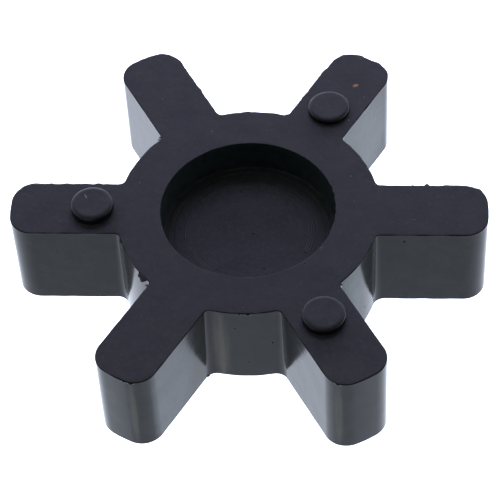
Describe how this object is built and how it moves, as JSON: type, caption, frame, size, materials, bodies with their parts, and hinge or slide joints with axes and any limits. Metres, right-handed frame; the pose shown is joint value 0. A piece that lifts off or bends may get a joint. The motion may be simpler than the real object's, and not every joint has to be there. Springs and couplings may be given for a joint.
{
  "type": "jaw coupling spider",
  "caption": "Star-shaped black rubber insert of a jaw coupling: closed centre web, straight round-cornered legs that the jaws press on, and raised spacer nubs on alternate legs.",
  "frame": {"origin": "centre of the part: on the shaft axis, at mid-thickness", "axes": "+Z along the shaft axis, out of the face that is up in the reference view; +X out along leg_1; legs numbered counter-clockwise seen from +Z"},
  "size_m": [0.0508, 0.0456, 0.0128],
  "materials": {
    "rubber_face": "matte, slightly dusty moulded face with a fine grain and sparse light specks",
    "rubber_flank": "smooth satin moulded wall with soft upright reflections and fine streaks",
    "rubber_nub": "smooth satin, a shade darker than the face around it"
  },
  "bodies": {
    "root": {"hub_ring": "rubber_face", "centre_web": "rubber_face", "leg_1": "rubber_flank", "leg_2": "rubber_flank", "leg_3": "rubber_flank", "leg_4": "rubber_flank", "leg_5": "rubber_flank", "leg_6": "rubber_flank", "spacer_nub_bottom_1": "rubber_nub", "spacer_nub_top_2": "rubber_nub", "spacer_nub_bottom_3": "rubber_nub", "spacer_nub_top_4": "rubber_nub", "spacer_nub_bottom_5": "rubber_nub", "spacer_nub_top_6": "rubber_nub"}
  },
  "joints": []
}
